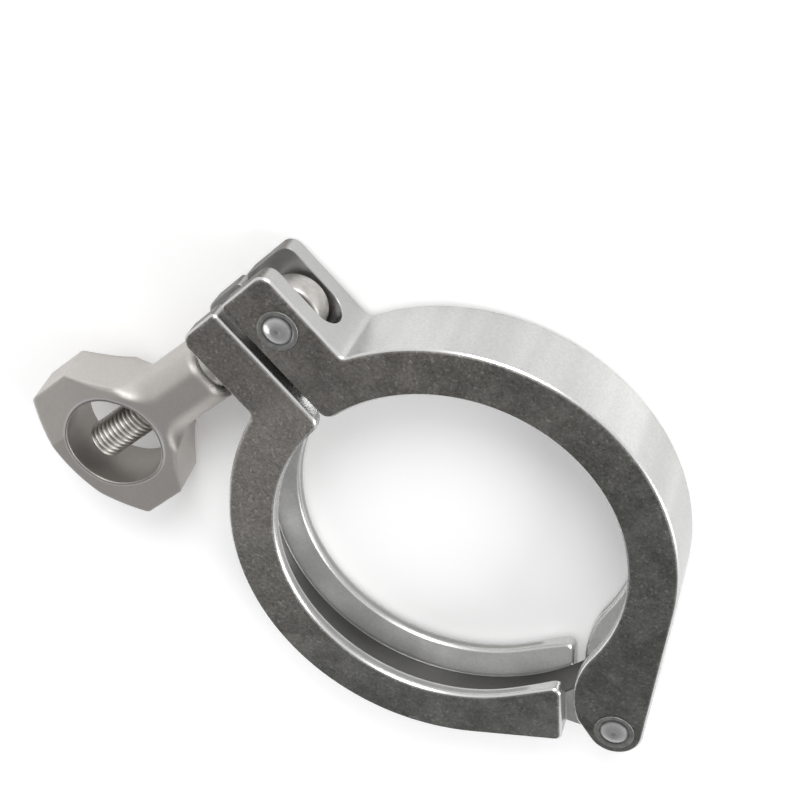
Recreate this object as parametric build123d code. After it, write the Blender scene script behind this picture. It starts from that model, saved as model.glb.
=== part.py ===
from build123d import *
import math
import os

# Sanitary hinged clamp for a pair of 77.5 mm (2.5 inch) ferrules.
# Two cast half rings turn on a hinge pin, and a swing bolt with a wing nut pulls them together.
# Frame: origin at the ring's centre, halfway through its width. +Z is the ring's axis, +X points at
# the hinge, +Y is the side of the half that carries the swing bolt. Millimetres.

# ---- ring -------------------------------------------------------------------------------------
LIP_INNER_R = 35.6           # radius inside the two lips, clear of the tube
BAND_DEPTH = 9.9             # from the lips to the outside of the band
GROOVE_DEPTH = 5.4           # from the lips to the floor of the ferrule groove
RING_WIDTH = 18.0            # length along the ring's axis, lugs and ears included
GROOVE_MOUTH = 12.4          # groove width at the lips
GROOVE_FLANK_DEG = 20.0      # flank angle of a standard ferrule
EDGE_BREAK = 0.6             # chamfer of the outline's edges, worn round on the real casting
MOUTH_BREAK = 0.4            # chamfer along the groove's mouth
SPLIT_GAP = 1.8              # gap between the bolt lugs, closed
HEEL_SWELL = 1.0             # extra band thickness where the lower lug starts
SWELL_START_DEG = 220.0
SWELL_END_DEG = 192.0

# ---- bolt lugs --------------------------------------------------------------------------------
LUG_LENGTH = 19.9            # length outside the band
UPPER_LUG_HEIGHT = 12.4      # height from the split face, holds the eye
LOWER_LUG_HEIGHT = 10.2      # height from the split face, takes the nut
LUG_CORNER_R = 2.6           # radius of the outer corners
LUG_FOOT_R = 1.2             # radius of the corners at the split
LUG_HEEL_R = 1.4             # radius of the hollow where a lug meets the band
LIP_END_R = 2.2              # radius of the lip corners at the split
SLOT_WIDTH = 8.8             # width of both lugs' slots
SLOT_DEPTH = 17.5            # depth of the slots from the lugs' outer end
SEAT_MOUTH_R = 5.9           # radius of the round seat for the nut's nose
SEAT_FLOOR_R = 5.1
SEAT_DEPTH = 2.6

# ---- hinge ------------------------------------------------------------------------------------
HINGE_REACH = 6.0            # distance from the outside of the band to the pin's axis
EAR_R = 5.8                  # radius of the two ears' ends
EAR_FLANK_DEG = 262.0        # where the ears' inner flank meets the round end
FLANK_FOOT = (-6.1, -4.9)    # inner flank, from the pin's axis
FLANK_MIDDLE = (-12.2, -0.6)
FLANK_START_DEG = 14.2       # where the inner flank leaves the lips
FORK_SLOT = 8.8              # width between the ears
FORK_FLOOR_R = 6.7           # radius of the hollow that the tongue turns in
TONGUE_THICKNESS = 8.4
TONGUE_R = 5.5
TONGUE_DEG = 215.0           # direction of the tongue, seen from the pin
TONGUE_LENGTH = 14.0
END_FACE_DEG = 230.0         # lower half's end face looks back along this line to the pin
END_FACE_GAP = 10.9          # distance from the pin's axis to the end face
LIP_RELIEF_DEG = -21.0       # from here the lips run on straight to the end face
END_FACE_OUT = 4.6           # length of the end face away from them
BLOCK_TANGENT_DEG = -36.0    # where the end block leaves the band
END_CORNER_R = 1.6

# ---- pins -------------------------------------------------------------------------------------
PIN_R = 3.0                  # radius of both pins
PIN_CLEARANCE = 0.05         # running fit, on the radius
HEAD_RIM_R = 4.1             # radius of the flattened ring round a rivet head
HEAD_RIM_T = 0.25            # its height
HEAD_DOME_R = 3.2            # radius of the dome
HEAD_DOME_H = 0.7            # its height over the rim
HEAD_SHOULDER_R = 2.5        # where the dome flattens
HEAD_SHOULDER_H = 0.45
HEAD_DIMPLE_R = 0.8
HEAD_DIMPLE_D = 0.35

# ---- swing bolt -------------------------------------------------------------------------------
EYE_INSET = 10.2             # distance of the bolt's pin from the lugs' outer end
EYE_HEIGHT = 6.3             # height of the pin over the upper split face
EYE_R = 6.4
EYE_THICKNESS = 6.2
EYE_BREAK = 1.1              # broken rims of the forged eye
THREAD_R = 3.95              # radius of an M8 thread over its crests
BOLT_LENGTH = 57.4           # length from the pin's axis to the tip
TIP_CHAMFER = 0.9
NECK_R = 3.4                 # radius of the plain neck under the eye
NECK_END = 12.0              # distance of the thread's start from the pin's axis
BOLT_LEAN_DEG = 2.8          # how far the closed bolt leans outward

# ---- wing nut, distances along the bolt from its pin ------------------------------------------
NUT_START = 22.1             # shoulder of the sleeve
SLEEVE_R = 7.0               # radius of the sleeve
NUT_THICKNESS = 13.0         # thickness over the two flat faces
TIP_THICKNESS = 9.4          # thickness at the wing tips
FLAT_HALF_WIDTH = 7.0        # half width of the full thickness
WING_HALF_SPAN = 17.0
NECK_ROUND_END = 35.0        # the sleeve is round up to here
NECK_POINTS = ((0.4, 37.6), (2.4, 41.0))    # neck's width over the sleeve's, along the bolt
WING_NEAR = 48.2             # wing tip, side nearest the lug
WING_FAR = 58.6
WING_CROWN = 63.3            # crown of the outer arc
WINDOW_AT = 50.35
WINDOW_R = 10.2              # radius of the round window
WINDOW_BREAK = 0.6           # chamfer of the window's rims
TIP_CORNER_R = 1.0           # radius of the four tip corners
THREAD_FIT = 0.08            # thread clearance, on the radius
SLEEVE_CHAMFER = 0.9
NUT_SPIN_DEG = 4.5           # turn of the nut from lying flat, as it happens to stand

# ---- nose bush that the nut turns on ----------------------------------------------------------
NOSE_START = 19.9            # face towards the lug
NOSE_R = 4.3
NOSE_BASE_R = 5.4
BUSH_R = 5.2                 # radius of the hidden shank inside the sleeve
BUSH_DEPTH = 5.0             # length of that shank
BUSH_CLEARANCE = 0.05        # the nut turns on the bush

# ---- worked out from the above ----------------------------------------------------------------
HALF_W = RING_WIDTH / 2
SPLIT_Y = SPLIT_GAP / 2
RING_OUTER_R = LIP_INNER_R + BAND_DEPTH
GROOVE_FLOOR_R = LIP_INNER_R + GROOVE_DEPTH
LUG_END_X = -(RING_OUTER_R + LUG_LENGTH)
LUG_ROOT_X = -LIP_INNER_R
SLOT_END_X = LUG_END_X + SLOT_DEPTH
EYE_X = LUG_END_X + EYE_INSET
EYE_Y = SPLIT_Y + EYE_HEIGHT
HINGE_X = RING_OUTER_R + HINGE_REACH
HINGE_Y = 0.0
BOLT_BORE_R = THREAD_R + THREAD_FIT
BORE_R = PIN_R + PIN_CLEARANCE
FAR = 4 * RING_OUTER_R       # well outside the clamp, for cutting bodies


def meeting(p, p_deg, q, q_deg):
    """Point where two lines cross, each given by a point and a direction."""
    a, b = math.radians(p_deg), math.radians(q_deg)
    along = ((q[0] - p[0]) * math.sin(b) - (q[1] - p[1]) * math.cos(b)) / math.sin(b - a)
    return (p[0] + along * math.cos(a), p[1] + along * math.sin(a))


def slab(face, thickness):
    """A flat outline grown to both sides of the middle plane."""
    return extrude(face, amount=thickness / 2, both=True)


def at_deg(radius, deg, cx=0.0, cy=0.0):
    return (cx + radius * math.cos(math.radians(deg)), cy + radius * math.sin(math.radians(deg)))


def from_hinge(offset):
    return (HINGE_X + offset[0], HINGE_Y + offset[1])


def sector(start_deg, end_deg):
    """Wedge from the ring's axis, for keeping or removing a stretch of the band."""
    middle = (start_deg + end_deg) / 2
    return make_face(
        Polyline((0, 0), at_deg(FAR, start_deg), at_deg(FAR, middle), at_deg(FAR, end_deg), close=True))


def half_band(upper):
    """Half of the ring's flat outline, up to the split face."""
    side = 1 if upper else -1
    keep = Pos(0, side * (SPLIT_Y + FAR / 2)) * Rectangle(2 * FAR, FAR)
    return (Circle(RING_OUTER_R) - Circle(LIP_INNER_R)) & keep


def groove():
    """The ferrule groove, as the turned body that it leaves room for."""
    slope = math.tan(math.radians(GROOVE_FLANK_DEG))
    floor = GROOVE_MOUTH / 2 - GROOVE_DEPTH * slope
    inner = LIP_INNER_R - GROOVE_DEPTH
    wide = GROOVE_MOUTH / 2 + GROOVE_DEPTH * slope
    profile = Polyline(
        (inner, 0, -wide), (GROOVE_FLOOR_R, 0, -floor), (GROOVE_FLOOR_R, 0, floor), (inner, 0, wide),
        close=True)
    return revolve(make_face(profile), axis=Axis.Z)


def corner_at(outline, x, y):
    """The outline's corner nearest a point."""
    return [min(outline.vertices(), key=lambda v: math.dist((v.X, v.Y), (x, y)))]


def lug_outline(upper):
    height = UPPER_LUG_HEIGHT if upper else LOWER_LUG_HEIGHT
    side = 1 if upper else -1
    foot = side * SPLIT_Y
    back = side * (SPLIT_Y + height)
    length = LUG_ROOT_X - LUG_END_X
    block = Pos(LUG_END_X + length / 2, (foot + back) / 2) * Rectangle(length, height)
    block = fillet(corner_at(block, LUG_END_X, back), radius=LUG_CORNER_R)
    return fillet(corner_at(block, LUG_END_X, foot), radius=LUG_FOOT_R)


def round_lug_corners(outline, upper):
    """Hollow between lug and band, and the lip corner at the split."""
    height = UPPER_LUG_HEIGHT if upper else LOWER_LUG_HEIGHT
    side = 1 if upper else -1
    back = side * (SPLIT_Y + height)
    heel_x = -math.sqrt(RING_OUTER_R ** 2 - back ** 2)
    outline = fillet(corner_at(outline, heel_x, back), radius=LUG_HEEL_R)
    lip_x = -math.sqrt(LIP_INNER_R ** 2 - SPLIT_Y ** 2)
    return fillet(corner_at(outline, lip_x, side * SPLIT_Y), radius=LIP_END_R)


def slot_cutter():
    """U-slot, open at the lug's outer end, cut along Y."""
    centre = SLOT_END_X - SLOT_WIDTH / 2
    box = Pos(centre - FAR / 2, 0, 0) * Box(FAR, FAR, SLOT_WIDTH)
    end = Pos(centre, 0, 0) * Rot(90, 0, 0) * Cylinder(SLOT_WIDTH / 2, FAR)
    return box + end


def break_face_edges(body):
    """Breaks the outline of both flat faces."""
    flats = body.faces().filter_by(lambda f: abs(abs(f.center().Z) - HALF_W) < 0.01)
    edges = [e for f in flats for e in f.outer_wire().edges()]
    return chamfer(edges, length=EDGE_BREAK)


def cut_groove(body):
    """Cuts the ferrule groove and breaks its two sharp edges."""
    body -= groove()
    mouth = body.edges().filter_by(
        lambda e: abs(abs(e.center().Z) - GROOVE_MOUTH / 2) < 0.01 and e.length > LIP_INNER_R
        and abs(math.hypot(*tuple(e @ 0.5)[:2]) - LIP_INNER_R) < 0.01)
    return chamfer(mouth, length=MOUTH_BREAK)


def pin_bore(x, y):
    return Pos(x, y, 0) * Cylinder(BORE_R, 2 * RING_WIDTH)


def ear_outline():
    """Web and round end of the two ears, from the band to the hinge."""
    leave = math.degrees(math.acos((RING_OUTER_R - EAR_R) / HINGE_X))
    on_ring = at_deg(RING_OUTER_R, leave)
    on_ear = at_deg(EAR_R, leave, HINGE_X, HINGE_Y)
    ear_low = at_deg(EAR_R, EAR_FLANK_DEG, HINGE_X, HINGE_Y)
    foot = from_hinge(FLANK_FOOT)
    start = at_deg(LIP_INNER_R, FLANK_START_DEG)
    lip = at_deg(LIP_INNER_R, leave)
    edges = [
        Line(lip, on_ring), Line(on_ring, on_ear),
        ThreePointArc(on_ear, at_deg(EAR_R, -30, HINGE_X, HINGE_Y), ear_low),
        Line(ear_low, foot), ThreePointArc(foot, from_hinge(FLANK_MIDDLE), start), Line(start, lip)]
    return make_face(edges)


def upper_half():
    band = half_band(True) - sector(-30, FLANK_START_DEG)
    outline = (band + lug_outline(True) + ear_outline()) - Circle(LIP_INNER_R)
    body = break_face_edges(slab(round_lug_corners(outline, True), RING_WIDTH))
    body = cut_groove(body) - slot_cutter() - fork_cutter()
    return body - pin_bore(EYE_X, EYE_Y) - pin_bore(HINGE_X, HINGE_Y)


def fork_cutter():
    """Room between the ears for the tongue, at every angle it reaches."""
    start = at_deg(FORK_FLOOR_R, TONGUE_DEG - 90, HINGE_X, HINGE_Y)
    end = at_deg(RING_OUTER_R, TONGUE_DEG, *start)
    side = make_face(Polyline(
        start, end, (end[0], -RING_OUTER_R), (HINGE_X + HALF_W, -RING_OUTER_R), (HINGE_X, HINGE_Y),
        close=True))
    return slab(side + Pos(HINGE_X, HINGE_Y) * Circle(FORK_FLOOR_R), FORK_SLOT)


def end_block():
    """Block at the lower half's hinge end, from the band to its slanting end face."""
    foot = at_deg(END_FACE_GAP, END_FACE_DEG, HINGE_X, HINGE_Y)
    low = at_deg(END_FACE_OUT, END_FACE_DEG + 90, *foot)
    leave = at_deg(LIP_INNER_R, LIP_RELIEF_DEG)
    top = meeting(leave, LIP_RELIEF_DEG + 90, foot, END_FACE_DEG - 90)
    middle = at_deg(LIP_INNER_R, (LIP_RELIEF_DEG + BLOCK_TANGENT_DEG) / 2)
    start = at_deg(LIP_INNER_R, BLOCK_TANGENT_DEG)
    return top, low, make_face([
        Line(start, at_deg(RING_OUTER_R, BLOCK_TANGENT_DEG)),
        Line(at_deg(RING_OUTER_R, BLOCK_TANGENT_DEG), low), Line(low, top), Line(top, leave),
        ThreePointArc(leave, middle, start)])


def heel_swell():
    """The lower band thickens a little towards its lug."""
    start = at_deg(RING_OUTER_R, SWELL_START_DEG)
    middle = at_deg(RING_OUTER_R + 0.4 * HEEL_SWELL, (SWELL_START_DEG + SWELL_END_DEG) / 2)
    end = at_deg(RING_OUTER_R + HEEL_SWELL, SWELL_END_DEG)
    inside = RING_OUTER_R - BAND_DEPTH / 2
    return make_face([
        ThreePointArc(start, middle, end), Line(end, at_deg(inside, SWELL_END_DEG)),
        Line(at_deg(inside, SWELL_END_DEG), at_deg(inside, SWELL_START_DEG)),
        Line(at_deg(inside, SWELL_START_DEG), start)])


def tongue():
    bar = Rot(0, 0, TONGUE_DEG) * Pos(TONGUE_LENGTH / 2, 0) * Rectangle(TONGUE_LENGTH, 2 * TONGUE_R)
    return Pos(HINGE_X, HINGE_Y, 0) * slab(Circle(TONGUE_R) + bar, TONGUE_THICKNESS)


def nose_seat():
    """Tapered round seat in the lower lug's back, on the bolt's line."""
    seat_y = -(SPLIT_Y + LOWER_LUG_HEIGHT)
    seat_x = EYE_X + (seat_y - EYE_Y) * math.tan(math.radians(BOLT_LEAN_DEG))
    seat = Cone(SEAT_MOUTH_R, SEAT_FLOOR_R, SEAT_DEPTH, align=(Align.CENTER, Align.CENTER, Align.MIN))
    return Pos(seat_x, seat_y, 0) * Rot(-90, 0, 0) * seat


def lower_half():
    top, low, block = end_block()
    band = half_band(False) - sector(BLOCK_TANGENT_DEG, 30)
    outline = (band + block + heel_swell() + lug_outline(False)) - Circle(LIP_INNER_R)
    outline = fillet(corner_at(outline, *low) + corner_at(outline, *top), radius=END_CORNER_R)
    body = break_face_edges(slab(round_lug_corners(outline, False), RING_WIDTH))
    body = cut_groove(body + tongue())
    return body - slot_cutter() - nose_seat() - pin_bore(HINGE_X, HINGE_Y)


def riveted_pin(x, y):
    """Plain pin with a low domed rivet head at both ends."""
    rim = HALF_W + HEAD_RIM_T
    crown = rim + HEAD_DOME_H
    profile = Polyline(
        (0, 0, 0), (PIN_R, 0, 0), (PIN_R, 0, HALF_W), (HEAD_RIM_R, 0, HALF_W), (HEAD_RIM_R, 0, rim),
        (HEAD_DOME_R, 0, rim), (HEAD_SHOULDER_R, 0, rim + HEAD_SHOULDER_H), (HEAD_DIMPLE_R, 0, crown),
        (0, 0, crown - HEAD_DIMPLE_D), close=True)
    upper = revolve(make_face(profile), axis=Axis.Z)
    return Pos(x, y, 0) * (upper + mirror(upper, about=Plane.XY))


def along_bolt(shape):
    """Leans a shape that was built with the bolt hanging straight along -Y."""
    return Pos(EYE_X, EYE_Y, 0) * Rot(0, 0, -BOLT_LEAN_DEG) * shape


def rod(radius, start, end):
    """Cylinder on the bolt's axis, between two distances from the pin."""
    return Pos(0, -(start + end) / 2, 0) * Rot(90, 0, 0) * Cylinder(radius, end - start)


def swing_bolt():
    eye = Cylinder(EYE_R, EYE_THICKNESS)
    eye = chamfer(eye.edges().filter_by(GeomType.CIRCLE), length=EYE_BREAK)
    shank = rod(THREAD_R, NECK_END, BOLT_LENGTH)
    shank = chamfer(shank.edges().sort_by(Axis.Y)[:1], length=TIP_CHAMFER)
    body = eye + rod(NECK_R, 0, NECK_END) + shank
    return along_bolt(body - Cylinder(BORE_R, 2 * EYE_THICKNESS))


def wing_outline():
    """Front view of the nut: sleeve, flaring neck, two wings and the crowned end."""
    half = WING_HALF_SPAN
    flare = [(SLEEVE_R + extra, -s) for extra, s in NECK_POINTS]
    neck = [(SLEEVE_R, -NECK_ROUND_END)] + flare + [(half, -WING_NEAR)]
    mirrored = [(-x, y) for x, y in reversed(neck)]
    outline = make_face([
        Line((-SLEEVE_R, -NUT_START), (SLEEVE_R, -NUT_START)),
        Line((SLEEVE_R, -NUT_START), neck[0]),
        Spline(*neck, tangents=((0, -1), (0.76, -0.65))),
        Line((half, -WING_NEAR), (half, -WING_FAR)),
        ThreePointArc((half, -WING_FAR), (0, -WING_CROWN), (-half, -WING_FAR)),
        Line((-half, -WING_FAR), (-half, -WING_NEAR)),
        Spline(*mirrored, tangents=((0.76, 0.65), (0, 1))),
        Line(mirrored[-1], (-SLEEVE_R, -NUT_START))])
    tips = [v for v in outline.vertices() if abs(abs(v.X) - half) < 0.01]
    return fillet(tips, radius=TIP_CORNER_R)


def wing_taper():
    """Seen along the bolt: full thickness at the middle, thinner towards both wing tips."""
    slope = (NUT_THICKNESS - TIP_THICKNESS) / 2 / (WING_HALF_SPAN - FLAT_HALF_WIDTH)
    out = WING_HALF_SPAN + SLEEVE_R
    thin = NUT_THICKNESS / 2 - slope * (out - FLAT_HALF_WIDTH)
    full = NUT_THICKNESS / 2
    corners = [(-out, thin), (-FLAT_HALF_WIDTH, full), (FLAT_HALF_WIDTH, full), (out, thin)]
    corners += [(x, -z) for x, z in reversed(corners)]
    face = make_face(Polyline(*[(x, 0, z) for x, z in corners], close=True))
    return extrude(face, amount=FAR, dir=(0, -1, 0))


def neck_flare():
    """Turned envelope that keeps the sleeve round and lets the neck run out into the flat faces."""
    wide = WING_HALF_SPAN + SLEEVE_R
    corner = math.hypot(SLEEVE_R + NECK_POINTS[1][0], NUT_THICKNESS / 2) + MOUTH_BREAK
    profile = [
        Line((0, -NUT_START), (SLEEVE_R - SLEEVE_CHAMFER, -NUT_START)),
        Line((SLEEVE_R - SLEEVE_CHAMFER, -NUT_START), (SLEEVE_R, -NUT_START - SLEEVE_CHAMFER)),
        Line((SLEEVE_R, -NUT_START - SLEEVE_CHAMFER), (SLEEVE_R, -NECK_ROUND_END)),
        Spline((SLEEVE_R, -NECK_ROUND_END), (corner, -NECK_POINTS[1][1]), (wide, -WING_NEAR + 1),
               tangents=((0, -1), (1, -0.45))),
        Line((wide, -WING_NEAR + 1), (wide, -WING_CROWN - 1)),
        Line((wide, -WING_CROWN - 1), (0, -WING_CROWN - 1)),
        Line((0, -WING_CROWN - 1), (0, -NUT_START))]
    return revolve(make_face(profile), axis=Axis.Y)


def window_cutter():
    """Round window with both rims broken."""
    hole = Cylinder(WINDOW_R, 2 * NUT_THICKNESS)
    for turn in (0, 180):
        rim = Cone(WINDOW_R - WINDOW_BREAK, WINDOW_R + WINDOW_BREAK, 2 * WINDOW_BREAK)
        hole += Rot(turn, 0, 0) * Pos(0, 0, NUT_THICKNESS / 2) * rim
    return Pos(0, -WINDOW_AT, 0) * hole


def wing_nut():
    body = slab(wing_outline(), NUT_THICKNESS) & wing_taper() & neck_flare()
    body -= window_cutter()
    body -= rod(BOLT_BORE_R, 0, WINDOW_AT)
    body -= rod(BUSH_R + BUSH_CLEARANCE, 0, NUT_START + BUSH_DEPTH)
    return along_bolt(Rot(0, NUT_SPIN_DEG, 0) * body)


def nose_bush():
    """Bush that the nut turns on; its tapered nose centres the nut in the lug's seat."""
    nose = Cone(NOSE_BASE_R, NOSE_R, NUT_START - NOSE_START)
    nose = Pos(0, -(NUT_START + NOSE_START) / 2, 0) * Rot(-90, 0, 0) * nose
    body = nose + rod(BUSH_R, NUT_START, NUT_START + BUSH_DEPTH)
    return along_bolt(body - rod(BOLT_BORE_R, 0, BOLT_LENGTH))


os.makedirs("parts", exist_ok=True)

export_step(upper_half(), "parts/half_ring_upper.step")
export_step(lower_half(), "parts/half_ring_lower.step")
export_step(riveted_pin(HINGE_X, HINGE_Y), "parts/hinge_pin.step")
export_step(riveted_pin(EYE_X, EYE_Y), "parts/bolt_pin.step")
export_step(swing_bolt(), "parts/swing_bolt.step")
export_step(wing_nut(), "parts/wing_nut.step")
export_step(nose_bush(), "parts/nose_bush.step")
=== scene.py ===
import bpy, bmesh, math
from mathutils import Matrix, Vector


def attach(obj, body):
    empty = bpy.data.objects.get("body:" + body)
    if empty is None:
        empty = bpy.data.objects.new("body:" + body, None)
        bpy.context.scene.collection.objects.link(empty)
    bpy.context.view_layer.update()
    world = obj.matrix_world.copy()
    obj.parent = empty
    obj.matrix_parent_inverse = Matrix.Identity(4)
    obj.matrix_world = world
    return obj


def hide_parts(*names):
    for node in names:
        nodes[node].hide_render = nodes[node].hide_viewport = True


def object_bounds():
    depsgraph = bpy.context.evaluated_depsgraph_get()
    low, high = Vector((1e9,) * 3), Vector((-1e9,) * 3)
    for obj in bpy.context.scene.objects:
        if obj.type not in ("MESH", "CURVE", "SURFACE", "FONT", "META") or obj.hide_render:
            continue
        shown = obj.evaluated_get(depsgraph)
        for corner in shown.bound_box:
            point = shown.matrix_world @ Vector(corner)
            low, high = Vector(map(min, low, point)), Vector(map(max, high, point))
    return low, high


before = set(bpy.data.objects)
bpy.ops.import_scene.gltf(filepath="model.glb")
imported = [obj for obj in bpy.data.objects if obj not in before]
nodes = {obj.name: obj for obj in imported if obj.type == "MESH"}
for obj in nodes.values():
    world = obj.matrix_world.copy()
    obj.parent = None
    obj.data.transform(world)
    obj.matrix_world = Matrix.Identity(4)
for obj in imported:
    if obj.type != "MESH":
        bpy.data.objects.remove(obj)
cad_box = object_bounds()
scene = bpy.context.scene
MM = 0.001

# ---- the object's own numbers, in millimetres, as in the CAD ----------------------------------
EYE_X, EYE_Y = -55.2, 7.2               # bolt pin, which the bolt's eye turns on
HINGE_X = 51.5                          # hinge pin, on the X axis
LEAN = math.radians(2.8)                # the bolt's own axis against -Y
WINDOW_X, WINDOW_Y = -57.66, -43.09     # middle of the nut's round window
WINDOW_AXIS = (0.0784, -0.0038, 0.9969)

# swing bolt, with its lengths from the eye's middle
THREAD_R, ROOT_R, PITCH = 3.95, 3.36, 1.25
ROOT_FLAT, FLANK = 0.16, 0.70           # shares of half a pitch
NECK_R, NECK_START, NECK_END = 3.4, 2.5, 12.0
SHOULDER = 0.5                          # from the plain neck to the thread's first row
BOLT_LENGTH = 57.4
RUN_OUT, RUN_OUT_RISE = 1.4, 0.6        # where the thread rises out of the neck
TIP, TIP_SINK, TIP_RISE, TIP_HOLLOW = 0.9, 0.3, 0.85, 0.1
EYE_R, EYE_T, EYE_RIM = 6.4, 6.2, 1.2
PIN_BORE_R, BORE_BREAK = 3.05, 0.15
BOLT_AROUND, EYE_AROUND, ROWS_A_TURN = 72, 96, 14

# riveted pins: radius and height from the shank over the flat ring to the foot of the dome
PIN_PROFILE = [(3.0, 8.98), (4.04, 8.99), (4.1, 9.04), (4.1, 9.17), (4.07, 9.22), (4.0, 9.25),
               (3.5, 9.25), (3.25, 9.24), (3.1, 9.15), (2.98, 9.09), (2.9, 9.1)]
DOME_R, DOME_FOOT, DOME_RISE = 2.9, 9.1, 0.85
DIMPLE_R, DIMPLE_DEPTH = 1.2, 0.26
DOME_ROWS, PIN_AROUND = 15, 72


# ---- shader helpers ---------------------------------------------------------------------------
class Tree:
    """Short way to write shader nodes. A value is a number, a tuple or another node's socket."""

    def __init__(self, tree):
        self.tree = tree
        tree.nodes.clear()

    def node(self, kind, **settings):
        n = self.tree.nodes.new(kind)
        for key, value in settings.items():
            setattr(n, key, value)
        return n

    def put(self, n, key, value):
        if isinstance(value, bpy.types.NodeSocket):
            self.tree.links.new(value, n.inputs[key])
        else:
            n.inputs[key].default_value = value

    def math(self, op, *values):
        n = self.node("ShaderNodeMath", operation=op)
        for k, value in enumerate(values):
            self.put(n, k, value)
        return n.outputs[0]

    def vector(self, op, *values):
        n = self.node("ShaderNodeVectorMath", operation=op)
        for k, value in enumerate(values):
            self.put(n, k, value)
        return n.outputs["Value" if op in ("LENGTH", "DOT_PRODUCT") else "Vector"]

    def both(self, a, b):
        return self.math("MULTIPLY", a, b)

    def radius(self, a, b):
        return self.math("SQRT", self.math("ADD", self.math("POWER", a, 2.0),
                                           self.math("POWER", b, 2.0)))

    def step(self, value, low, high, unit=1.0):
        """Smooth change from 0 at low to 1 at high."""
        n = self.node("ShaderNodeMapRange", interpolation_type="SMOOTHSTEP")
        for k, v in enumerate((value, low * unit, high * unit)):
            self.put(n, k, v)
        return n.outputs[0]

    def fade(self, value, low, high, unit=1.0):
        """Smooth change from 1 at low to 0 at high."""
        return self.math("SUBTRACT", 1.0, self.step(value, low, high, unit))

    def blend(self, factor, a, b):
        """Number between a and b."""
        n = self.node("ShaderNodeMix", data_type="FLOAT")
        for k, value in ((0, factor), (2, a), (3, b)):
            self.put(n, k, value)
        return n.outputs[0]

    def mix(self, factor, a, b, kind="MIX"):
        """Colour between a and b."""
        n = self.node("ShaderNodeMix", data_type="RGBA", blend_type=kind)
        for k, value in ((0, factor), (6, a), (7, b)):
            self.put(n, k, value)
        return n.outputs[2]

    def over(self, base, colour, mask, most):
        """Lays a colour over the base inside a mask, with most as its full strength."""
        return self.mix(self.both(mask, most), base, colour)

    def shade(self, base, colour):
        return self.mix(1.0, base, colour, "MULTIPLY")


class Surface(Tree):
    """A material with a principled shader, and the coordinates that it is painted by."""

    def __init__(self, name):
        self.material = bpy.data.materials.new(name)
        self.material.use_nodes = True
        super().__init__(self.material.node_tree)
        out = self.node("ShaderNodeOutputMaterial")
        self.bsdf = self.node("ShaderNodeBsdfPrincipled")
        self.put(out, 0, self.bsdf.outputs[0])
        self.coords = self.node("ShaderNodeTexCoord")
        self.co = self.coords.outputs["Object"]

    def split(self, kind):
        """X, Y and Z of the place (Object) or of the facing (Normal)."""
        n = self.node("ShaderNodeSeparateXYZ")
        self.put(n, 0, self.coords.outputs[kind])
        return n.outputs[0], n.outputs[1], n.outputs[2]

    def noise(self, scale, detail, rough, co=None):
        n = self.node("ShaderNodeTexNoise")
        self.put(n, "Vector", self.co if co is None else co)
        self.put(n, "Scale", scale)
        self.put(n, "Detail", detail)
        self.put(n, "Roughness", rough)
        return n.outputs["Fac"]

    def metal(self, colour, rough, height, bump, depth, edge):
        """Makes the shader a metal with edges rounded to radius edge, and gives the material."""
        self.put(self.bsdf, "Base Color", colour)
        self.put(self.bsdf, "Roughness", rough)
        self.put(self.bsdf, "Metallic", 1.0)
        soft = self.node("ShaderNodeBevel", samples=6)
        self.put(soft, "Radius", edge)
        relief = self.node("ShaderNodeBump")
        self.put(relief, "Normal", soft.outputs[0])
        self.put(relief, "Strength", bump)
        self.put(relief, "Distance", depth)
        self.put(relief, "Height", height)
        self.put(self.bsdf, "Normal", relief.outputs[0])
        return self.material


def grey(value, tint=(1.0, 1.0, 1.0)):
    return (value * tint[0], value * tint[1], value * tint[2], 1.0)


# ---- materials --------------------------------------------------------------------------------
STEEL = (1.0, 1.0, 0.98)
WARM = (1.05, 1.0, 0.95)
# warm tint for the painted shade in the groove and thread roots, and for dirt patches on the
# thread
SHADE_AND_DIRT = (1.0, 0.98, 0.93)


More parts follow.
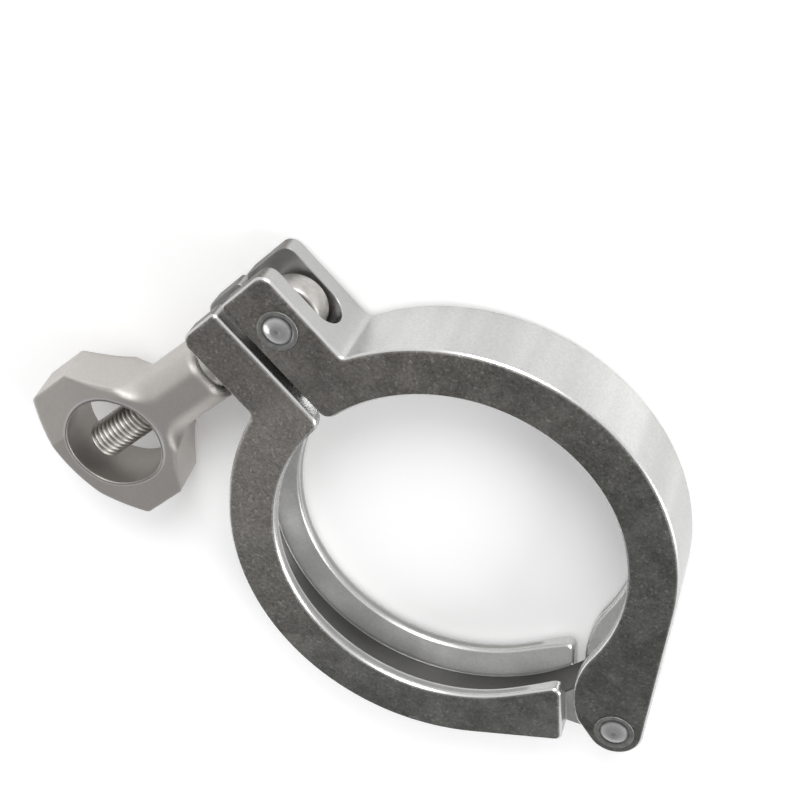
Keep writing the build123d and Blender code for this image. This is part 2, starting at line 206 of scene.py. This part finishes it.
def cast_steel(name, painted_light_by_bolt, painted_light_by_hinge, painted_light_on_lug, smooth):
    """Dark blasted flat faces and lug ends, satin band, worn edges with a painted highlight, and
    painted shade on the groove floor, on the lips' inner faces and on the lug's sides.

    The three numbers after the name are painted light and shade: they scale the flat faces' grey
    by the bolt, by the hinge and on the lug. smooth, from 0 to 1, takes the dark patches off the
    flat faces by the bolt."""
    t = Surface(name)
    x, y, z = t.split("Object")
    facing_x, _, facing_z = t.split("Normal")
    up = t.math("ABSOLUTE", facing_z)
    high = t.math("ABSOLUTE", z)
    reach = t.radius(x, y)

    lug = t.fade(x, -48.0, -42.0, MM)
    along = t.step(x, -45.0, 25.0, MM)
    top = t.both(t.step(up, 0.35, 0.60), t.step(high, 8.62, 8.82, MM))
    end = t.both(t.step(facing_x, -0.55, -0.85), t.fade(x, -64.0, -61.0, MM))
    flat = t.math("MAXIMUM", top, end)
    edge = t.both(t.step(up, 0.16, 0.34), t.fade(up, 0.80, 0.97))
    edge = t.both(edge, t.fade(high, 8.70, 8.86, MM))
    painted_groove_shade = t.both(t.step(reach, 39.6, 40.8, MM), t.fade(high, 4.1, 4.6, MM))
    painted_groove_shade = t.both(painted_groove_shade, t.fade(reach, 41.3, 41.6, MM))
    painted_lip_shade = t.both(t.step(high, 6.8, 7.1, MM), t.fade(high, 7.8, 8.2, MM))
    painted_lip_shade = t.both(painted_lip_shade, t.fade(reach, 35.7, 35.9, MM))

    fine = t.noise(2600.0, 3.0, 0.6)
    grain = t.noise(1700.0, 2.0, 0.7)
    speck = t.step(t.noise(1500.0, 1.0, 0.5), 0.60, 0.74)
    pit = t.step(t.noise(900.0, 2.0, 0.6), 0.42, 0.30)
    mid = t.noise(620.0, 3.0, 0.6)
    patch = t.step(t.noise(150.0, 4.0, 0.65), 0.36, 0.64)
    broad = t.noise(55.0, 2.0, 0.5)
    streak = t.noise(42.0, 3.0, 0.6, t.vector("MULTIPLY", t.co, (1.0, 1.0, 0.08)))

    # flat faces
    face = t.mix(t.step(grain, 0.30, 0.70), grey(0.150, (1.0, 1.0, 0.965)),
                 grey(0.235, (1.0, 1.0, 0.975)))
    face = t.over(face, grey(0.27), t.step(mid, 0.45, 0.75), 0.45)
    face = t.over(face, grey(0.45), speck, 0.5)
    face = t.over(face, grey(0.07), pit, 0.4)
    face = t.over(face, grey(0.25), t.step(broad, 0.35, 0.75), 0.35)
    patchy = t.math("SUBTRACT", 1.0, t.both(t.math("SUBTRACT", 1.0, along), smooth))
    face = t.mix(patchy, face, t.shade(face, t.mix(patch, grey(0.72), grey(1.04))))
    # painted light and shade: the flat faces are made lighter or darker by the bolt, by the hinge
    # and on the lug
    face = t.shade(face, t.mix(along, grey(painted_light_by_bolt, WARM), grey(painted_light_by_hinge, (1.0, 1.0, 0.96))))
    face = t.shade(face, t.mix(lug, grey(1.0), grey(painted_light_on_lug)))

    # band, groove and all other sides
    side = t.mix(t.step(grain, 0.3, 0.7), grey(0.53, STEEL), grey(0.60, (1.0, 1.0, 0.985)))
    side = t.shade(side, t.mix(t.step(streak, 0.36, 0.64), grey(0.88), grey(1.16)))
    # painted shade: the sides on the lug are darker
    side = t.over(side, grey(0.42, STEEL), lug, 0.75)
    # painted shade: the groove floor is dark
    side = t.over(side, grey(0.07, SHADE_AND_DIRT), painted_groove_shade, 0.9)
    # painted shade: a dark band on the lips' inner faces
    side = t.over(side, grey(0.26, (1.0, 0.99, 0.95)), painted_lip_shade, 0.7)

    # worn edges, painted lighter as a highlight
    colour = t.over(t.mix(flat, side, face), grey(0.66), edge, 0.85)
    uneven = t.step(fine, 0.3, 0.7)
    rough = t.blend(flat, t.blend(uneven, 0.30, 0.40), t.blend(uneven, 0.44, 0.60))
    rough = t.blend(edge, rough, 0.26)
    height = t.blend(flat, t.both(fine, 0.25), t.math("ADD", fine, t.both(mid, 1.6)))
    height = t.blend(edge, height, 0.0)
    return t.metal(colour, rough, height, 0.6, 0.05 * MM, 0.5 * MM)


def pin_steel(name, x, y):
    """Rivet: light flattened ring, painted shade on the dome's slope, a bright crown as a painted
    highlight and painted shade in its dimple.
    """
    t = Surface(name)
    place_x, place_y, _ = t.split("Object")
    out = t.radius(t.math("SUBTRACT", place_x, x * MM), t.math("SUBTRACT", place_y, y * MM))
    crown = t.fade(out, 2.3, 2.9, MM)
    slope = t.fade(out, 3.0, 3.4, MM)
    dimple = t.fade(out, 0.2, 0.9, MM)
    fine = t.noise(2200.0, 3.0, 0.6)
    mid = t.noise(700.0, 2.0, 0.5)
    uneven = t.step(mid, 0.35, 0.7)
    ring = t.mix(uneven, grey(0.25, (1.0, 1.0, 0.97)), grey(0.35))
    # painted shade: a dark ring on the dome's slope
    colour = t.mix(slope, ring, t.mix(uneven, grey(0.15, STEEL), grey(0.21)))
    # painted highlight: a bright crown
    colour = t.mix(crown, colour, grey(0.60))
    # painted shade: a darker dimple
    colour = t.over(colour, grey(0.22), dimple, 0.5)
    rough = t.blend(slope, 0.45, t.blend(t.step(fine, 0.3, 0.7), 0.20, 0.28))
    return t.metal(colour, rough, t.math("ADD", fine, mid), 0.25, 0.03 * MM, 0.15 * MM)


def bolt_steel():
    """Bright crests over thread roots painted dark as shade, plain satin eye and neck."""
    t = Surface("bolt_steel")
    axis = (-math.sin(LEAN), -math.cos(LEAN), 0)
    from_eye = t.vector("SUBTRACT", t.co, (EYE_X * MM, EYE_Y * MM, 0))
    out = t.vector("LENGTH", t.vector("CROSS_PRODUCT", from_eye, axis))
    along = t.vector("DOT_PRODUCT", from_eye, axis)
    crest = t.step(out, ROOT_R + 0.10, THREAD_R - 0.12, MM)
    threaded = t.step(along, NECK_END, NECK_END + 0.6, MM)
    fine = t.noise(2400.0, 3.0, 0.6)
    mid = t.noise(620.0, 2.0, 0.5)
    plain = t.mix(t.step(mid, 0.3, 0.7), grey(0.40, (1.03, 1.0, 0.94)),
                  grey(0.50, (1.03, 1.0, 0.96)))
    # painted shade: the thread roots are darker than the crests
    cut = t.mix(crest, grey(0.19, SHADE_AND_DIRT), grey(0.46, (1.04, 1.0, 0.93)))
    cut = t.over(cut, grey(0.20, SHADE_AND_DIRT), t.step(mid, 0.5, 0.62), 0.45)
    rough = t.blend(t.step(fine, 0.3, 0.7), 0.34, 0.48)
    return t.metal(t.mix(threaded, plain, cut), rough, fine, 0.3, 0.03 * MM, 0.1 * MM)


def nut_steel():
    """Even satin casting, warmer than the ring. The window has painted shade on its wall, a dark
    line of painted shade round its mouth and a painted highlight on its rim. The edges are rounder
    at the neck than on the wings."""
    t = Surface("nut_steel")
    _, y, z = t.split("Object")
    from_window = t.vector("SUBTRACT", t.co, (WINDOW_X * MM, WINDOW_Y * MM, 0))
    far = t.vector("LENGTH", t.vector("CROSS_PRODUCT", from_window, WINDOW_AXIS))
    outer = t.step(t.math("ABSOLUTE", z), 4.2, 4.6, MM)
    wall = t.fade(far, 10.1, 10.24, MM)
    line = t.both(t.step(far, 10.22, 10.36, MM), t.fade(far, 10.46, 10.62, MM))
    rim = t.both(t.step(far, 10.60, 10.72, MM), t.fade(far, 10.85, 11.1, MM))
    fine = t.noise(2600.0, 3.0, 0.6)
    grain = t.noise(1500.0, 2.0, 0.6)
    broad = t.noise(60.0, 2.0, 0.5)
    colour = t.mix(t.step(grain, 0.3, 0.7), grey(0.49, WARM), grey(0.52, WARM))
    colour = t.over(colour, grey(0.42, WARM), t.step(broad, 0.4, 0.75), 0.25)
    # painted shade on the window's wall
    colour = t.over(colour, grey(0.24, (1.04, 1.0, 0.95)), wall, 0.5)
    # painted shade: a dark line round the window's mouth
    colour = t.over(colour, grey(0.16), t.both(line, outer), 0.75)
    # painted highlight on the window's rim
    colour = t.over(colour, grey(0.75), t.both(rim, outer), 0.6)
    rough = t.blend(t.step(fine, 0.3, 0.7), 0.38, 0.46)
    worn = t.blend(t.step(y, -42.0, -32.0, MM), 0.7 * MM, 2.4 * MM)
    return t.metal(colour, rough, fine, 0.2, 0.03 * MM, worn)


def bush_brass():
    """Turned nose, close to bright steel with a faint yellow cast."""
    t = Surface("bush_brass")
    fine = t.noise(2400.0, 3.0, 0.6)
    mid = t.noise(500.0, 2.0, 0.5)
    colour = t.mix(t.step(mid, 0.3, 0.7), (0.42, 0.41, 0.38, 1.0), (0.58, 0.57, 0.53, 1.0))
    rough = t.blend(t.step(fine, 0.3, 0.7), 0.14, 0.24)
    return t.metal(colour, rough, fine, 0.3, 0.03 * MM, 0.3 * MM)


MATERIALS = {
    # both halves are one cast steel with painted light and shade: the lower half lighter by the
    # bolt and the hinge, darker on the lug
    "half_ring_upper": cast_steel("cast_steel_upper", 1.04, 0.84, 0.94, 0.1),
    "half_ring_lower": cast_steel("cast_steel_lower", 1.38, 1.02, 0.70, 0.8),
    "wing_nut": nut_steel(),
    "nose_bush": bush_brass()}
for name, material in MATERIALS.items():
    if not nodes[name].data.materials:
        nodes[name].data.materials.append(material)
    for slot in nodes[name].material_slots:
        slot.material = material


# ---- mesh helpers -----------------------------------------------------------------------------
def turned(count):
    """The angles of one full turn."""
    return [2 * math.pi * k / count for k in range(count)]


def skin(bm, rows):
    """Faces between closed rows of points."""
    for a, b in zip(rows, rows[1:]):
        for k in range(len(a)):
            j = (k + 1) % len(a)
            bm.faces.new((a[k], a[j], b[j], b[k]))


def lid(bm, row, at):
    """Closes a row of points to one point."""
    centre = bm.verts.new(at)
    for k in range(len(row)):
        bm.faces.new((row[k], row[(k + 1) % len(row)], centre))


def shown(name, bm, material):
    """A smooth object in the scene from a finished bmesh."""
    bmesh.ops.recalc_face_normals(bm, faces=bm.faces)
    mesh = bpy.data.meshes.new(name)
    bm.to_mesh(mesh)
    bm.free()
    for polygon in mesh.polygons:
        polygon.use_smooth = True
    mesh.materials.append(material)
    obj = bpy.data.objects.new(name, mesh)
    bpy.context.collection.objects.link(obj)
    return obj


# ---- riveted pins -----------------------------------------------------------------------------
def rivet(node, x, y):
    """Pin with its two riveted heads: flat ring, button dome and a centre dimple."""
    top = list(PIN_PROFILE)
    for k in range(1, DOME_ROWS):
        r = DOME_R * (1 - k / DOME_ROWS)
        sink = DIMPLE_DEPTH * max(0.0, 1 - (r / DIMPLE_R) ** 2) ** 2
        top.append((r, DOME_FOOT + DOME_RISE * (1 - (r / DOME_R) ** 2) - sink))
    bm = bmesh.new()
    rows = []
    for r, z in [(r, -z) for r, z in reversed(top)] + top:
        rows.append([bm.verts.new(((x + r * math.cos(a)) * MM, (y + r * math.sin(a)) * MM, z * MM))
                     for a in turned(PIN_AROUND)])
    skin(bm, rows)
    middle = DOME_FOOT + DOME_RISE - DIMPLE_DEPTH
    lid(bm, rows[0], (x * MM, y * MM, -middle * MM))
    lid(bm, rows[-1], (x * MM, y * MM, middle * MM))
    obj = shown(node + "_shown", bm, pin_steel(node + "_steel", x, y))
    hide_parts(node)
    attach(obj, "upper_half")


rivet("hinge_pin", HINGE_X, 0.0)
rivet("bolt_pin", EYE_X, EYE_Y)


# ---- swing bolt with its real thread ----------------------------------------------------------
def thread_radius(turns):
    """Rolled profile with flats at root and crest, at a place counted in pitches."""
    d = abs((turns % 1.0) - 0.5) * 2.0
    rise = min(max((d - ROOT_FLAT) / FLANK, 0.0), 1.0)
    return ROOT_R + (THREAD_R - ROOT_R) * rise


def shank(bm):
    """Neck and thread from the eye along -Y, with the thread's run-out and the bolt's tip."""
    rows = []

    def ring(s, radius_of):
        row = []
        for a in turned(BOLT_AROUND):
            r = radius_of(a)
            row.append(bm.verts.new((r * math.cos(a) * MM, -s * MM, r * math.sin(a) * MM)))
        rows.append(row)

    ring(NECK_START, lambda a: NECK_R)
    ring(NECK_END - SHOULDER, lambda a: NECK_R)
    steps = int((BOLT_LENGTH - NECK_END) / PITCH * ROWS_A_TURN)
    for k in range(steps + 1):
        s = NECK_END + (BOLT_LENGTH - NECK_END) * k / steps
        start = min(max((s - NECK_END) / RUN_OUT, 0.0), 1.0)
        end = min(max((BOLT_LENGTH - s) / TIP, 0.0), 1.0)
        cap = min(NECK_R + RUN_OUT_RISE * start, NECK_R - TIP_SINK + TIP_RISE * end)
        ring(s, lambda a, s=s, cap=cap: min(thread_radius(s / PITCH - a / (2 * math.pi)), cap))
    skin(bm, rows)
    lid(bm, rows[-1], (0, -(BOLT_LENGTH - TIP_HOLLOW) * MM, 0))


def eye(bm):
    """Ring about Z with rounded rims and the pin's bore."""
    half = EYE_T / 2
    section = [(PIN_BORE_R, -half + BORE_BREAK), (PIN_BORE_R + BORE_BREAK, -half)]
    for middle, first in ((-half + EYE_RIM, -90), (half - EYE_RIM, 0)):
        for k in range(7):
            a = math.radians(first + 15 * k)
            section.append((EYE_R - EYE_RIM + EYE_RIM * math.cos(a),
                            middle + EYE_RIM * math.sin(a)))
    section += [(PIN_BORE_R + BORE_BREAK, half), (PIN_BORE_R, half - BORE_BREAK)]
    cuts = [[bm.verts.new((r * math.cos(a) * MM, r * math.sin(a) * MM, z * MM))
             for r, z in section] for a in turned(EYE_AROUND)]
    for a, b in zip(cuts, cuts[1:] + cuts[:1]):
        for i in range(len(section)):
            j = (i + 1) % len(section)
            bm.faces.new((a[i], b[i], b[j], a[j]))


bm = bmesh.new()
shank(bm)
eye(bm)
bolt = shown("swing_bolt_shown", bm, bolt_steel())
bolt.data.transform(Matrix.Translation((EYE_X * MM, EYE_Y * MM, 0))
                    @ Matrix.Rotation(-LEAN, 4, "Z"))
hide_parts("swing_bolt")
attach(bolt, "swing_bolt")


# ---- floor ------------------------------------------------------------------------------------
def floor():
    """A pale sheet 6 m wide, under the object's lowest point."""
    s, low = 3.0, cad_box[0][2]
    mesh = bpy.data.meshes.new("floor")
    mesh.from_pydata([(-s, -s, low), (s, -s, low), (s, s, low), (-s, s, low)], [], [(0, 1, 2, 3)])
    obj = bpy.data.objects.new("floor", mesh)
    bpy.context.collection.objects.link(obj)
    t = Surface("floor_paper")
    paper = t.mix(t.noise(40.0, 2.0, 0.5), grey(0.94), grey(0.96))
    t.put(t.bsdf, "Base Color", paper)
    t.put(t.bsdf, "Emission Color", paper)
    t.put(t.bsdf, "Emission Strength", 0.14)
    t.put(t.bsdf, "Roughness", 0.9)
    mesh.materials.append(t.material)


floor()

# ---- light ------------------------------------------------------------------------------------
DIM_SIDE = (0.30, -0.40, 0.866)         # where the sky is dimmed

world = bpy.data.worlds.new("studio")
scene.world = world
world.use_nodes = True
w = Tree(world.node_tree)
out = w.node("ShaderNodeOutputWorld")
back = w.node("ShaderNodeBackground")
w.put(out, 0, back.outputs[0])
direction = w.node("ShaderNodeTexCoord")
towards = w.vector("DOT_PRODUCT", direction.outputs["Generated"], DIM_SIDE)
w.put(back, "Color", w.mix(w.step(towards, 0.30, 0.98), grey(0.92), grey(0.36)))
w.put(back, "Strength", 1.0)


def area(name, at, size, power):
    """Round soft light, turned to the ring's middle."""
    data = bpy.data.lights.new(name, "AREA")
    data.shape = "DISK"
    data.size = size
    data.energy = power
    obj = bpy.data.objects.new(name, data)
    obj.location = at
    obj.rotation_euler = (-Vector(at)).to_track_quat("-Z", "Y").to_euler()
    bpy.context.collection.objects.link(obj)


area("key", (-0.55, 0.75, 0.65), 0.5, 6.2)
area("fill", (0.7, 0.5, 0.5), 0.5, 4.0)
area("rim", (-0.3, -0.8, 0.35), 0.4, 0.7)

# ---- camera, at the photograph's viewing angle ------------------------------------------------
CAMERA_AT = (-0.09593952, 0.18233139, 0.26254176)
CAMERA_RIGHT = Vector((0.66554519, 0.69152431, -0.28079126))
CAMERA_FORWARD = Vector((0.2102957, -0.53472146, -0.81844284))

lens = bpy.data.cameras.new("camera")
lens.sensor_width = 36.0
lens.lens = 74.887
camera = bpy.data.objects.new("camera", lens)
turn = Matrix((CAMERA_RIGHT, CAMERA_RIGHT.cross(CAMERA_FORWARD), -CAMERA_FORWARD)).transposed()
camera.matrix_world = Matrix.Translation(CAMERA_AT) @ turn.to_4x4()
bpy.context.collection.objects.link(camera)
scene.camera = camera

scene.view_settings.view_transform = "Standard"
